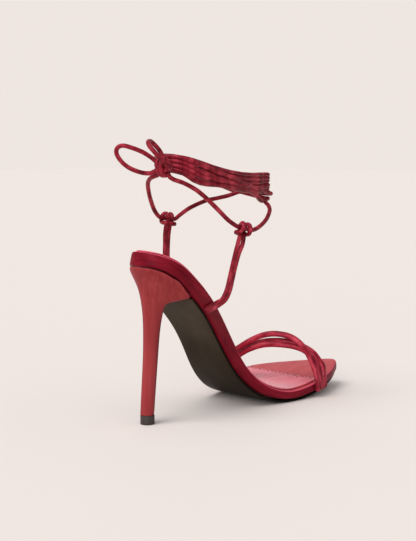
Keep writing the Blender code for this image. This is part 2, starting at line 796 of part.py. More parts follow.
def make_cord(name, route, spacing, both_ends):
    """Round cord from the knot, as a curve with a bevel and filled caps.

    The route's first point, and its last where both ends meet the knot, give the way off it.
    """
    end = route[-1]
    route = knot_start(route[0]) + [Vector(place) for place in route[1:-1]]
    if both_ends:
        route += reversed(knot_start(end))
    else:
        route.append(Vector(end))
    length = sum((after - before).length for before, after in zip(route, route[1:]))
    count = min(80, max(8, int(length / (spacing * CORD_DIAMETER))))
    data = bpy.data.curves.new(name, "CURVE")
    data.dimensions = "3D"
    data.bevel_depth = CORD_DIAMETER / 2
    data.bevel_resolution = 2
    data.use_fill_caps = True
    spline = data.splines.new("POLY")
    points = curve_points(route, count)
    spline.points.add(len(points) - 1)
    for item, point in zip(spline.points, points):
        item.co = (*point, 1.0)
    cord = bpy.data.objects.new(name, data)
    bpy.context.scene.collection.objects.link(cord)
    return cord


def make_bow_knot():
    mesh = bmesh.new()
    bmesh.ops.create_uvsphere(mesh, u_segments=12, v_segments=8, radius=1.0)
    bmesh.ops.scale(mesh, verts=mesh.verts, vec=BOW_KNOT_HALF)
    bmesh.ops.translate(mesh, verts=mesh.verts, vec=BOW_KNOT)
    return finish_mesh("bow_knot", mesh)


def finish_material(item, color, roughness):
    """Material with a colour and roughness, named after its piece."""
    material = bpy.data.materials.new(item.name)
    material.use_nodes = True
    shader = material.node_tree.nodes["Principled BSDF"]
    shader.inputs["Base Color"].default_value = (*color, 1.0)
    shader.inputs["Roughness"].default_value = roughness
    shader.inputs["Metallic"].default_value = 0.0
    item.data.materials.append(material)


SATIN = (0.27, 0.02, 0.04)
SATIN_DARK = (0.20, 0.012, 0.028)
SATIN_HEEL = (0.33, 0.035, 0.045)
LINING = (0.45, 0.07, 0.10)
SOLE_BROWN = (0.07, 0.052, 0.04)
TIP_BROWN = (0.05, 0.04, 0.035)


def main():
    for item in list(bpy.data.objects):
        bpy.data.objects.remove(item, do_unlink=True)
    last = Last()
    finish_material(make_footbed(last), SATIN_DARK, 0.45)
    finish_material(make_sock(last), LINING, 0.3)
    finish_material(make_outsole(last), SOLE_BROWN, 0.5)
    finish_material(make_heel(last), SATIN_HEEL, 0.45)
    finish_material(make_heel_tip(), TIP_BROWN, 0.5)
    finish_material(make_upper(last), SATIN, 0.4)
    inner = make_side_loop(last, "side_loop_inner", "inner", LOOP_INNER_ROUTE, HITCH_INNER)
    outer = make_side_loop(last, "side_loop_outer", "outer", LOOP_OUTER_ROUTE, HITCH_OUTER)
    finish_material(inner, SATIN, 0.4)
    finish_material(outer, SATIN, 0.4)
    finish_material(make_wrap(), SATIN, 0.4)
    finish_material(make_cord("lace_inner", LACE_INNER_ROUTE, 1.4, False), SATIN, 0.4)
    finish_material(make_cord("lace_outer", LACE_OUTER_ROUTE, 1.4, False), SATIN, 0.4)
    finish_material(make_bow_knot(), SATIN, 0.4)
    finish_material(make_cord("bow_loop_outer", BOW_OUTER_ROUTE, 1.0, True), SATIN, 0.4)
    finish_material(make_cord("bow_loop_inner", BOW_INNER_ROUTE, 1.0, True), SATIN, 0.4)


main()
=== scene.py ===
# Looks of the lace up heeled sandal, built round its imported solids
from math import cos, pi, radians, sin, sqrt

import bpy
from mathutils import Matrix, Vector, kdtree, noise


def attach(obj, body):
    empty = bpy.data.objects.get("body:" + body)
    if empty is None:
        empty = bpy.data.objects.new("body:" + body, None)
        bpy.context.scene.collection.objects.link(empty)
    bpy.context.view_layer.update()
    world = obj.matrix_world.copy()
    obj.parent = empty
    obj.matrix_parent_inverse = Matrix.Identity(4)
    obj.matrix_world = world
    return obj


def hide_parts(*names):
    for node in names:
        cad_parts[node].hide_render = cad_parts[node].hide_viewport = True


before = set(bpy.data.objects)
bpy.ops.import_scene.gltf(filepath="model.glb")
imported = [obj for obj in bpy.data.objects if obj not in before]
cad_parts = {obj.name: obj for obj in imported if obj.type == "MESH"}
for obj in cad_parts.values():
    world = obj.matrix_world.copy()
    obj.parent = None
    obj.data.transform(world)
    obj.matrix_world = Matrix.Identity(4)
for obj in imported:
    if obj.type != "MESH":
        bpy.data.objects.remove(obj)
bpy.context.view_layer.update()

mm = 0.001
nodeWeld = 0.01 * mm  # points of a solid's copy that are nearer than this are one
tubeWeld = 0.002 * mm
fineLevels = 3  # subdivision of the refined solids
toneMost, toneStep = 0.30, 2.4  # how much darker one cord is than its neighbours
swellScale, swellApart = 140, 7.3  # how a cord's thickness wanders along it
endFullness = 0.55  # share of its radius left at a cord's end
mixFactor, mixLow, mixHigh, mixResult = 0, 6, 7, 2  # sockets of a Mix node set to colours


# modelling helpers

def pick(*items):
    if bpy.context.mode != "OBJECT":
        bpy.ops.object.mode_set(mode="OBJECT")
    bpy.ops.object.select_all(action="DESELECT")
    for item in items:
        item.select_set(True)
    bpy.context.view_layer.objects.active = items[0]


def applyAll(item):
    pick(item)
    for modifier in list(item.modifiers):
        bpy.ops.object.modifier_apply(modifier=modifier.name)


def subdivide(item, levels):
    modifier = item.modifiers.new("soft", "SUBSURF")
    modifier.levels = levels
    modifier.render_levels = levels
    applyAll(item)


def dress(item, finish, slot, *nodes):
    # a finished piece: its material, its slot, which is not used, the body it rides on, the solids
    # it stands for
    item.data.materials.clear()
    item.data.materials.append(finish.material)
    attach(item, "root")
    if nodes:
        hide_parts(*nodes)


def nodeCopy(nodeName, pieceName):
    # the solid's own form as clean quads, ready to be refined
    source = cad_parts[nodeName]
    item = bpy.data.objects.new(pieceName, source.data.copy())
    bpy.context.scene.collection.objects.link(item)
    pick(item)
    bpy.ops.object.mode_set(mode="EDIT")
    bpy.ops.mesh.select_all(action="SELECT")
    bpy.ops.mesh.remove_doubles(threshold=nodeWeld)
    anyAngle = radians(90)
    bpy.ops.mesh.tris_convert_to_quads(face_threshold=anyAngle, shape_threshold=anyAngle)
    bpy.ops.mesh.mark_sharp(clear=True)
    bpy.ops.object.mode_set(mode="OBJECT")
    bpy.ops.object.shade_smooth()
    return item


def joinPieces(name, items):
    pick(*items)
    if len(items) > 1:
        bpy.ops.object.join()
    joined = bpy.context.object
    joined.name = name
    joined.data.name = name
    return joined


def easeIn(value):
    value = min(1.0, max(0.0, value))
    return value * value * (3 - 2 * value)


def smoothLine(places, perSpan=8):
    # even curve through the places, which are in mm
    places = [Vector(place) * mm for place in places]
    line = []
    for index in range(len(places) - 1):
        here, after = places[index:index + 2]
        before = places[index - 1] if index else here * 2 - after
        beyond = places[index + 2] if index + 2 < len(places) else after * 2 - here
        for step in range(perSpan):
            t = step / perSpan
            line.append(0.5 * (2 * here + (after - before) * t
                               + (2 * before - 5 * here + 4 * after - beyond) * t ** 2
                               + (3 * here - before - 3 * after + beyond) * t ** 3))
    line.append(places[-1])
    return line


def runsOf(line):
    runs = [0.0]
    for here, after in zip(line, line[1:]):
        runs.append(runs[-1] + (after - here).length)
    return runs


def treeOf(line):
    tree = kdtree.KDTree(len(line))
    for index, place in enumerate(line):
        tree.insert(place, index)
    tree.balance()
    return tree


def keepValue(item, name, values):
    item.data.attributes.new(name, "FLOAT", "POINT").data.foreach_set("value", values)


def toneOf(seed):
    return toneMost * (0.5 + 0.5 * sin(seed * toneStep))


def tube(name, line, diameter, closed=False, resolution=4, swell=0.0, seed=0, roundEnds=0.2):
    # round cord along a line, as a mesh whose UV map is in metres, along and round it
    bpy.ops.object.select_all(action="DESELECT")
    bpy.ops.curve.primitive_bezier_curve_add()
    item = bpy.context.object
    curve = item.data
    curve.splines.clear()
    curve.dimensions = "3D"
    curve.bevel_depth = diameter / 2
    curve.bevel_resolution = resolution
    curve.use_fill_caps = not closed
    spline = curve.splines.new("POLY")
    spline.points.add(len(line) - 1)
    runs = runsOf(line)
    endRound = diameter * roundEnds
    for point, place, run in zip(spline.points, line, runs):
        point.co = (*place, 1.0)
        stray = noise.noise(place * swellScale + Vector((seed * swellApart, 0, 0)))
        point.radius = 1 + swell * stray
        fromEnd = min(run, runs[-1] - run)
        if not closed and fromEnd < endRound:
            rounding = sqrt(1 - (1 - fromEnd / endRound) ** 2)
            point.radius *= endFullness + (1 - endFullness) * rounding
    spline.use_cyclic_u = closed
    pick(item)
    bpy.ops.object.convert(target="MESH")
    item = bpy.context.object
    for corner in item.data.uv_layers[0].data:
        corner.uv = (corner.uv[0] * runs[-1], corner.uv[1] * pi * diameter)
    bpy.ops.object.mode_set(mode="EDIT")
    bpy.ops.mesh.select_all(action="SELECT")
    bpy.ops.mesh.remove_doubles(threshold=tubeWeld)
    bpy.ops.mesh.normals_make_consistent(inside=False)
    bpy.ops.object.mode_set(mode="OBJECT")
    bpy.ops.object.shade_smooth()
    item.name = name
    item.data.name = name
    keepValue(item, "tone", [toneOf(seed)] * len(item.data.vertices))
    return item


def pressFoot(item, line, normal, foot):
    # flatten the start of a tube on the rim, with small pleats where it is gathered
    tree, runs = treeOf(line), runsOf(line)
    for vertex in item.data.vertices:
        middle, index, _ = tree.find(vertex.co)
        flat = 1 - easeIn((runs[index] - foot["flatLength"]) / foot["blend"])
        if flat <= 0:
            continue
        along = (line[min(index + 1, len(line) - 1)] - line[max(index - 1, 0)]).normalized()
        facing = (normal - along * normal.dot(along)).normalized()
        side = along.cross(facing)
        offset = vertex.co - middle
        across = offset.dot(side)
        proud = offset.dot(facing)
        fold = foot["pleats"] * flat * sin(across / foot["pleatPitch"]) if proud > 0 else 0
        vertex.co += (facing * (proud * (foot["thin"] - 1) * flat + fold)
                      + side * (across * (foot["wide"] - 1) * flat))


# camera, stage and light

photoView = {"place": (-519.2, 495.8, 184.4), "turn": 222.9, "down": 6.0, "lens": 68.8,
             "sensor": 36, "near": 0.01}
studio = {
    "floorSize": 40.0, "floorBounce": (0.60, 0.55, 0.52),
    "floorColour": (0.858, 0.797, 0.768), "seenSky": (0.863, 0.791, 0.753),
    "sky": (1.0, 0.985, 0.97), "skyStrength": 0.50, "skyGloss": 0.10,
}
# where each broad light comes from, how wide it is in degrees, its strength and colour
lamps = {
    "overheadLight": ((0.12, 0.52, 0.84), 34, 1.58, (1.0, 0.985, 0.97)),
    "backLight": ((0.70, -0.68, 0.26), 26, 0.13, (1.0, 0.985, 0.98)),
    "sideLight": ((-0.40, 0.82, 0.40), 30, 0.70, (1.0, 0.97, 0.95)),
}


def setCamera():
    bpy.ops.object.camera_add(location=Vector(photoView["place"]) * mm,
                              rotation=(radians(90 - photoView["down"]), 0,
                                        radians(photoView["turn"])))
    camera = bpy.context.object
    camera.name = "camera"
    camera.data.lens = photoView["lens"]
    camera.data.sensor_width = photoView["sensor"]
    camera.data.clip_start = photoView["near"]
    bpy.context.scene.camera = camera


def buildStage():
    bpy.ops.object.select_all(action="DESELECT")
    bpy.ops.mesh.primitive_plane_add(size=studio["floorSize"])
    floor = bpy.context.object
    floor.name = "floor"
    paper = bpy.data.materials.new("paleFloor")
    paper.use_nodes = True
    shader = paper.node_tree.nodes["Principled BSDF"]
    shader.inputs["Roughness"].default_value = 1.0
    shader.inputs["Specular IOR Level"].default_value = 0.0
    # the paper throws less light back on the shoe than it shows
    tree = paper.node_tree
    which = tree.nodes.new("ShaderNodeLightPath")
    shade = tree.nodes.new("ShaderNodeMix")
    shade.data_type = "RGBA"
    shade.inputs[mixLow].default_value = (*studio["floorBounce"], 1)
    shade.inputs[mixHigh].default_value = (*studio["floorColour"], 1)
    tree.links.new(which.outputs["Is Camera Ray"], shade.inputs[mixFactor])
    tree.links.new(shade.outputs[mixResult], shader.inputs["Base Color"])
    floor.data.materials.append(paper)

    # the camera sees the floor's own colour beyond it, so that no horizon shows
    world = bpy.data.worlds.new("softWorld")
    bpy.context.scene.world = world
    world.use_nodes = True
    tree = world.node_tree
    tree.nodes.clear()
    lit = tree.nodes.new("ShaderNodeBackground")
    lit.inputs["Color"].default_value = (*studio["sky"], 1)
    seen = tree.nodes.new("ShaderNodeBackground")
    seen.inputs["Color"].default_value = (*studio["seenSky"], 1)
    which = tree.nodes.new("ShaderNodeLightPath")
    # a dimmer sky in the gloss keeps the edges of cords and straps deep red
    strength = tree.nodes.new("ShaderNodeMapRange")
    strength.inputs["To Min"].default_value = studio["skyStrength"]
    strength.inputs["To Max"].default_value = studio["skyGloss"]
    tree.links.new(which.outputs["Is Glossy Ray"], strength.inputs["Value"])
    tree.links.new(strength.outputs["Result"], lit.inputs["Strength"])
    either = tree.nodes.new("ShaderNodeMixShader")
    output = tree.nodes.new("ShaderNodeOutputWorld")
    tree.links.new(which.outputs["Is Camera Ray"], either.inputs[0])
    tree.links.new(lit.outputs[0], either.inputs[1])
    tree.links.new(seen.outputs[0], either.inputs[2])
    tree.links.new(either.outputs[0], output.inputs["Surface"])

    for name, (source, width, strength, colour) in lamps.items():
        bpy.ops.object.light_add(type="SUN", location=Vector(source) * 2)
        lamp = bpy.context.object
        lamp.name = name
        lamp.rotation_euler = Vector(source).to_track_quat("Z", "Y").to_euler()
        lamp.data.angle = radians(width)
        lamp.data.energy = strength
        lamp.data.color = colour
    bpy.context.scene.view_settings.view_transform = "Standard"


setCamera()
buildStage()
print("camera, floor and lights done")


# finishes

class Finish:
    # one material and the steps that the finishes share

    def __init__(self, name, settings):
        self.material = bpy.data.materials.new(name)
        self.material.use_nodes = True
        self.tree = self.material.node_tree
        self.shader = self.tree.nodes["Principled BSDF"]
        self.lastBump = None
        for socket, value in settings.items():
            self.shader.inputs[socket].default_value = value

    def node(self, kind, **values):
        made = self.tree.nodes.new("ShaderNode" + kind)
        for socket, value in values.items():
            made.inputs[socket.replace("_", " ")].default_value = value
        return made

    def link(self, source, target):
        self.tree.links.new(source, target)

    def place(self, reads, scale):
        # where the pattern lies: object coordinates, the UV map or one of the piece's attributes
        if reads in ("Object", "UV"):
            source = self.node("TexCoord").outputs[reads]
        else:
            attribute = self.node("Attribute")
            attribute.attribute_name = reads
            source = attribute.outputs["Vector"]
        lay = self.node("Mapping", Scale=scale)
        self.link(source, lay.inputs["Vector"])
        return lay.outputs["Vector"]

    def value(self, name):
        attribute = self.node("Attribute")
        attribute.attribute_name = name
        return attribute.outputs["Fac"]

    def noise(self, place, detail=2.0, rough=0.5, bend=0.0):
        made = self.node("TexNoise", Scale=1.0, Detail=detail, Roughness=rough, Distortion=bend)
        self.link(place, made.inputs["Vector"])
        return made.outputs["Fac"]

    def wave(self, place, bend, direction="DIAGONAL"):
        made = self.node("TexWave", Scale=1.0, Distortion=bend, Detail=1.0)
        made.bands_direction = direction
        self.link(place, made.inputs["Vector"])
        return made.outputs["Fac"]

    def ramp(self, source, stops):
        made = self.node("ValToRGB")
        elements = made.color_ramp.elements
        while len(elements) < len(stops):
            elements.new(0.5)
        for element, (at, colour) in zip(elements, stops):
            element.position = at
            element.color = (*colour, 1)
        self.link(source, made.inputs["Fac"])
        return made.outputs["Color"]

    def span(self, source, before, after):
        # the source's values from one low and high pair to another
        made = self.node("MapRange", From_Min=before[0], From_Max=before[1],
                         To_Min=after[0], To_Max=after[1])
        self.link(source, made.inputs["Value"])
        return made.outputs["Result"]

    def mix(self, below, above, amount, mode="MIX"):
        made = self.tree.nodes.new("ShaderNodeMix")
        made.data_type = "RGBA"
        made.blend_type = mode
        for socket, value in ((mixFactor, amount), (mixLow, below), (mixHigh, above)):
            if isinstance(value, tuple):
                made.inputs[socket].default_value = (*value, 1)
            elif isinstance(value, float):
                made.inputs[socket].default_value = value
            else:
                self.link(value, made.inputs[socket])
        return made.outputs[mixResult]

    def bump(self, height, relief):
        # relief: strength, and depth in mm
        strength, depth = relief
        made = self.node("Bump", Strength=strength, Distance=depth * mm)
        self.link(height, made.inputs["Height"])
        if self.lastBump:
            self.link(self.lastBump, made.inputs["Normal"])
        self.lastBump = made.outputs["Normal"]

    def finish(self, colour, rough):
        self.link(colour, self.shader.inputs["Base Color"])
        self.link(rough, self.shader.inputs["Roughness"])
        if self.lastBump:
            self.link(self.lastBump, self.shader.inputs["Normal"])
        return self


middleSpan = (0.3, 0.7)  # the part of a noise's values that carries its pattern
satinGlow = {"Metallic": 0.0, "IOR": 1.3, "Specular Tint": (1.0, 0.42, 0.52, 1),
             "Sheen Roughness": 0.28, "Sheen Tint": (1.0, 0.28, 0.36, 1)}

# of each finish: its colours, its low and high roughness, how often each pattern repeats in a
# metre along the axes that it reads, and each relief's strength and depth in mm
cordCloth = {
    "dark": (0.085, 0.003, 0.007), "middle": (0.34, 0.019, 0.037), "light": (0.74, 0.080, 0.120),
    "rough": (0.26, 0.44), "gloss": 0.75, "sheen": 0.40,
    "blotch": (140, 110, 1), "thread": (620, 620, 1), "threadBend": 0.5,
    "crease": (900, 330, 1), "creaseBend": 0.6, "fold": (170, 170, 170),
    "threadRelief": (0.10, 0.05), "creaseRelief": (0.25, 0.16), "foldRelief": (0.35, 0.5),
}
strapCloth = {
    "dark": (0.10, 0.003, 0.010), "middle": (0.38, 0.022, 0.046), "light": (0.84, 0.115, 0.170),
    "rough": (0.22, 0.40), "gloss": 0.85, "sheen": 0.45,
    "blotch": (60, 180, 1), "thread": (560, 560, 1), "threadBend": 0.4,
    "crease": (240, 620, 1), "creaseBend": 1.2, "fold": (110, 150, 110),
    "threadRelief": (0.12, 0.05), "creaseRelief": (0.45, 0.22), "foldRelief": (0.35, 0.6),
}
rimCloth = {
    "dark": (0.13, 0.004, 0.012), "middle": (0.22, 0.008, 0.020), "light": (0.31, 0.013, 0.032),
    "rough": (0.31, 0.46), "gloss": 0.30, "sheen": 0.25,
    "streak": (28, 900, 120), "streakBend": 0.3, "blotch": (60, 160, 60), "blotchShare": 0.5,
    "thread": (20, 620, 620), "threadRelief": (0.06, 0.04), "streakRelief": (0.40, 0.16),
    # the fold's colour is a painted highlight on the rounded top edge
    "blotchRelief": (0.20, 0.35), "grain": (60, 500, 420), "foldHighlight": (0.88, 0.12, 0.23),
    # the top colours are painted light from above, laid on the faces that look up
    "top": [(0.30, (0.50, 0.070, 0.082)), (0.55, (0.60, 0.092, 0.104)),
            (0.75, (0.68, 0.120, 0.135))],
}
heelCloth = {
    "dark": (0.29, 0.033, 0.038), "middle": (0.38, 0.049, 0.054), "light": (0.47, 0.070, 0.074),
    "rough": (0.35, 0.50), "gloss": 0.35, "sheen": 0.30,
    "streak": (420, 420, 9), "streakBend": 0.1, "blotch": (60, 60, 22), "blotchShare": 0.4,
    "thread": (900, 900, 40), "threadRelief": (0.05, 0.04), "streakRelief": (0.25, 0.12),
    "blotchRelief": (0.12, 0.5), "cover": (0.022, 0.016, 0.014),
}


def satinShader(name, cloth):
    return Finish(name, {**satinGlow, "Specular IOR Level": cloth["gloss"],
                         "Sheen Weight": cloth["sheen"]})


def clothRamp(made, source, cloth):
    return made.ramp(source, [(0.32, cloth["dark"]), (0.50, cloth["middle"]),
                              (0.70, cloth["light"])])


def tubeFinish(name, cloth, toned):
    # satin tube: fine slanted threads, creases across it and soft blotches along it
    made = satinShader(name, cloth)
    blotch = made.noise(made.place("UV", cloth["blotch"]), detail=3.0, rough=0.55)
    colour = clothRamp(made, blotch, cloth)
    if toned:
        colour = made.mix(colour, cloth["dark"], made.value("tone"))
    thread = made.wave(made.place("UV", cloth["thread"]), cloth["threadBend"])
    crease = made.noise(made.place("UV", cloth["crease"]), rough=0.6, bend=cloth["creaseBend"])
    fold = made.noise(made.place("Object", cloth["fold"]))
    made.bump(thread, cloth["threadRelief"])
    made.bump(crease, cloth["creaseRelief"])
    made.bump(fold, cloth["foldRelief"])
    return made.finish(colour, made.span(crease, middleSpan, cloth["rough"]))


def stretchedCloth(made, cloth, reads):
    # satin stretched over a form: long fine streaks and soft blotches
    streak = made.noise(made.place(reads, cloth["streak"]), detail=3.0, rough=0.6,
                        bend=cloth["streakBend"])
    blotch = made.noise(made.place(reads, cloth["blotch"]))
    thread = made.wave(made.place(reads, cloth["thread"]), bend=0.3)
    made.bump(thread, cloth["threadRelief"])
    made.bump(streak, cloth["streakRelief"])
    made.bump(blotch, cloth["blotchRelief"])
    colour = clothRamp(made, made.mix(streak, blotch, cloth["blotchShare"]), cloth)
    return colour, made.span(streak, middleSpan, cloth["rough"])


def rimFinish(cloth):
    # wrapped rim: paler on faces that look up, as painted light from above, with a painted
    # highlight line along its fold
    made = satinShader("rimSatin", cloth)
    wall, rough = stretchedCloth(made, cloth, "lay")
    grain = made.noise(made.place("lay", cloth["grain"]), detail=3.0, rough=0.6)
    # painted light: faces that look up take the paler top colours
    colour = made.mix(wall, made.ramp(grain, cloth["top"]), made.value("paintedTopLight"))
    # painted highlight: a pale line along the rounded top edge
    colour = made.mix(colour, cloth["foldHighlight"], made.value("fold"))
    return made.finish(colour, rough)


def heelFinish(cloth):
    # satin stretched down the heel, with a dark cover on its front face
    made = satinShader("heelSatin", cloth)
    satin, rough = stretchedCloth(made, cloth, "Object")
    return made.finish(made.mix(satin, cloth["cover"], made.value("front")), rough)


sockCoat = {
    "streak": (34, 200, 210), "cloud": (40, 60, 55), "cloudShare": 0.5, "grain": (900, 900, 900),
    "colours": [(0.36, (0.66, 0.075, 0.120)), (0.50, (0.82, 0.125, 0.185)),
                (0.66, (0.94, 0.21, 0.28))],
    "rough": (0.18, 0.36), "streakSpan": (0.35, 0.65),
    "grainRelief": (0.06, 0.05), "streakRelief": (0.45, 0.30),
}


def sockFinish():
    # coated lining: glossy, with faint streaks and wrinkles along the foot
    made = Finish("sockLining", {"Metallic": 0.0, "IOR": 1.5, "Specular IOR Level": 0.5,
                                 "Coat Weight": 0.3, "Coat Roughness": 0.14})
    streak = made.noise(made.place("lay", sockCoat["streak"]), detail=4.0, rough=0.6, bend=0.6)
    cloud = made.noise(made.place("lay", sockCoat["cloud"]))
    colour = made.ramp(made.mix(streak, cloud, sockCoat["cloudShare"]), sockCoat["colours"])
    grain = made.noise(made.place("lay", sockCoat["grain"]))
    made.bump(grain, sockCoat["grainRelief"])
    made.bump(streak, sockCoat["streakRelief"])
    return made.finish(colour, made.span(streak, sockCoat["streakSpan"], sockCoat["rough"]))


soleRubber = {
    "cloud": (26, 90, 40), "grain": (1500, 1500, 1500), "scuff": (90, 300, 700),
    "colours": [(0.30, (0.080, 0.058, 0.038)), (0.55, (0.108, 0.080, 0.054)),
                (0.75, (0.140, 0.108, 0.076))],
    # painted shade: the colour that darkens the bottom towards the ball, and the run over which it
    # sets in
    "ballShade": (0.17, 0.15, 0.13), "ballShadeRun": (0.02, 0.17), "edge": (0.008, 0.007, 0.006),
    "rough": (0.26, 0.40), "grainRelief": (0.10, 0.05), "scuffRelief": (0.12, 0.08),
}


def outsoleFinish():
    # smooth moulded sole: fine grain, faint scuffs, a dark painted edge and painted shade towards
    # the ball
    made = Finish("outsole", {"Metallic": 0.0, "IOR": 1.48, "Specular IOR Level": 0.05,
                              "Specular Tint": (1.0, 0.86, 0.72, 1)})
    cloud = made.noise(made.place("lay", soleRubber["cloud"]), detail=3.0)
    bottom = made.ramp(cloud, soleRubber["colours"])
    # painted shade: paler at the waist, darker towards the ball
    split = made.node("SeparateXYZ")
    made.link(made.place("lay", (1, 1, 1)), split.inputs["Vector"])
    run = made.span(split.outputs["X"], soleRubber["ballShadeRun"], (0.0, 1.0))
    shadedBottom = made.mix(bottom, soleRubber["ballShade"], 1.0, "MULTIPLY")
    colour = made.mix(made.mix(bottom, shadedBottom, run), soleRubber["edge"], made.value("edge"))
    grain = made.noise(made.place("lay", soleRubber["grain"]), detail=3.0, rough=0.6)
    scuff = made.noise(made.place("lay", soleRubber["scuff"]), detail=3.0, rough=0.6, bend=0.4)
    made.bump(grain, soleRubber["grainRelief"])
    made.bump(scuff, soleRubber["scuffRelief"])
    return made.finish(colour, made.span(scuff, middleSpan, soleRubber["rough"]))


twistedThread = {
    "twist": (900, 900, 900), "relief": (0.3, 0.05), "rough": (0.40, 0.60),
    "colours": [(0.2, (0.06, 0.005, 0.009)), (0.8, (0.17, 0.014, 0.024))],
}


def threadFinish():
    made = Finish("stitchThread", {"Metallic": 0.0, "IOR": 1.5, "Sheen Weight": 0.3})
    twist = made.wave(made.place("Object", twistedThread["twist"]), bend=0.3)
    made.bump(twist, twistedThread["relief"])
    return made.finish(made.ramp(twist, twistedThread["colours"]),
                       made.span(twist, (0.0, 1.0), twistedThread["rough"]))


tipLayers = {
    "grain": (900, 900, 900), "layers": (0, 0, 380), "layerShare": 0.3,
    "colours": [(0.25, (0.040, 0.031, 0.027)), (0.55, (0.066, 0.052, 0.046)),
                (0.80, (0.095, 0.078, 0.07))],
    "relief": (0.25, 0.10), "rough": (0.42, 0.60),
}


def tipFinish():
    made = Finish("heelTip", {"Metallic": 0.0, "IOR": 1.5, "Specular IOR Level": 0.4})
    grain = made.noise(made.place("Object", tipLayers["grain"]), detail=3.0, rough=0.6)
    layers = made.wave(made.place("Object", tipLayers["layers"]), bend=0.2, direction="Z")
    made.bump(grain, tipLayers["relief"])
    return made.finish(
        made.ramp(made.mix(grain, layers, tipLayers["layerShare"]), tipLayers["colours"]),
        made.span(grain, middleSpan, tipLayers["rough"]))


cordSatin = tubeFinish("cordSatin", cordCloth, toned=True)
strapSatin = tubeFinish("strapSatin", strapCloth, toned=False)
rimSatin = rimFinish(rimCloth)
heelSatin = heelFinish(heelCloth)
sockLining = sockFinish()
outsoleRubber = outsoleFinish()
tipRubber = tipFinish()
stitchThread = threadFinish()
print("finishes done")


# laces and bow, the cords

cordSize = 3.2 * mm
cordSwell = 0.04
seeds = {"laces": 0, "bands": 20, "cores": 30, "turns": 40, "loops": 60, "straps": 80}
# places in mm along the solids' own routes, with each end carried on into the knot or the wrap
laces = {
    "laceInner": {
        "node": "lace_inner", "farEnd": "object",
        "route": [(-9.6, -11.9, 176.0), (-11.0, -12.0, 174.3), (-12.0, -12.6, 173.3),
                  (-14.0, -14.0, 172.0), (-17.2, -20.5, 169.5), (-19.5, -29.5, 165.0),
                  (-21.5, -35.5, 160.5), (-24.0, -40.5, 155.5), (-26.5, -46.5, 149.5),
                  (-28.1, -54.0, 143.0), (-29.1, -62.4, 138.3), (-30.7, -68.5, 136.7),
                  (-32.3, -74.6, 135.1), (-31.8, -83.0, 136.8), (-28.8, -94.0, 140.8),
                  (-23.8, -104.0, 144.8), (-18.0, -112.5, 148.5), (-12.0, -118.0, 151.2),
                  (-7.4, -121.2, 152.5), (-4.6, -122.4, 154.2)]},
    "laceOuter": {
        "node": "lace_outer", "farEnd": "object",
        "route": [(-1.6, -11.7, 177.2), (0.0, -11.6, 175.4), (1.2, -11.5, 174.9),
                  (4.5, -11.5, 174.0), (9.5, -12.8, 172.4), (14.8, -16.0, 168.8),
                  (19.5, -21.5, 162.0), (23.5, -28.0, 154.5), (26.0, -34.0, 148.0),
                  (27.0, -40.3, 143.5), (26.0, -46.7, 142.7), (25.0, -53.1, 141.9),
                  (24.5, -58.0, 144.6), (22.0, -66.6, 149.9), (15.0, -75.8, 155.0),
                  (8.5, -83.1, 157.2), (3.0, -88.4, 159.0), (-3.0, -93.2, 161.7),
                  (-6.8, -97.0, 163.2), (-8.6, -98.8, 164.0)]},
    "bowLoopOuter": {
        "node": "bow_loop_outer", "farEnd": "object",
        "route": [(-1.2, -10.2, 183.9), (0.3, -8.6, 185.4), (1.5, -6.4, 187.5),
                  (4.0, -1.0, 191.0), (8.0, 5.5, 194.0), (12.0, 10.5, 195.5),
                  (14.5, 13.2, 193.8), (15.0, 13.5, 190.0), (13.7, 10.7, 185.0),
                  (12.0, 6.5, 181.2), (10.0, 2.0, 178.7), (6.5, -3.0, 176.8), (3.0, -7.0, 176.5),
                  (1.2, -8.9, 177.6), (-0.6, -10.2, 178.4)]},
    "bowLoopInner": {
        "node": "bow_loop_inner", "farEnd": "object",
        "route": [(-10.6, -10.9, 179.9), (-12.9, -10.2, 179.7), (-15.0, -8.0, 181.5),
                  (-13.8, -2.0, 185.5), (-11.8, 2.5, 190.5), (-8.0, 4.0, 195.0),
                  (-3.5, 1.0, 197.8), (0.0, -4.5, 198.5), (0.5, -9.0, 196.2),
                  (-1.8, -11.2, 192.5), (-3.9, -11.5, 189.4), (-4.4, -11.7, 187.2)]},
}


# the knot of the bow: two bands over a folded core

bowKnot = {"middle": (-5.0, -11.8, 181.0), "bands": (-1.7, 1.55), "bandDeep": 4.0,
           "bandTall": 6.2, "bandLean": (0.4, 1), "lean": 12,
           "coreWide": 5.5, "coreTall": 2.3, "coreApart": 1.25, "swell": 0.05}


def ellipse(middle, first, second, count=48):
    places = []
    for step in range(count):
        turn = 2 * pi * step / count
        places.append((middle + first * cos(turn) + second * sin(turn)) * mm)
    return places


def makeBowKnot():
    middle, lean = Vector(bowKnot["middle"]), radians(bowKnot["lean"])
    parts = []
    for order, shift in enumerate(bowKnot["bands"]):
        tall = Vector((sin(lean) * bowKnot["bandLean"][order], 0, cos(lean))) * bowKnot["bandTall"]
        deep = Vector((0, 1, 0)) * bowKnot["bandDeep"]
        line = ellipse(middle + Vector((shift, 0, 0)), deep, tall)
        parts.append(tube("band", line, cordSize, closed=True, resolution=5,
                          swell=bowKnot["swell"], seed=seeds["bands"] + order))
    for order, side in enumerate((-1, 1)):
        wide = Vector((cos(lean * side), 0, sin(lean * side))) * bowKnot["coreWide"]
        tall = Vector((0, 0, 1)) * bowKnot["coreTall"]
        line = ellipse(middle + Vector((0, side * bowKnot["coreApart"], 0)), wide, tall)
        parts.append(tube("core", line, cordSize, closed=True, resolution=5,
                          swell=bowKnot["swell"], seed=seeds["cores"] + order))
    knot = joinPieces("bowKnot", parts)
    dress(knot, cordSatin, "cord_satin", "bow_knot")
    return knot


def makeLaces(knot):
    for order, (name, lace) in enumerate(laces.items()):
        line = smoothLine(lace["route"], 10)
        cord = tube(name, line, cordSize, resolution=5, swell=cordSwell,
                    seed=seeds["laces"] + order, roundEnds=0.05)
        dress(cord, cordSatin, "cord_satin", lace["node"])


makeLaces(makeBowKnot())
print("laces and bow done")


# the lace wound round the ankle: its strands, as levels from the top of the bundle to the bottom

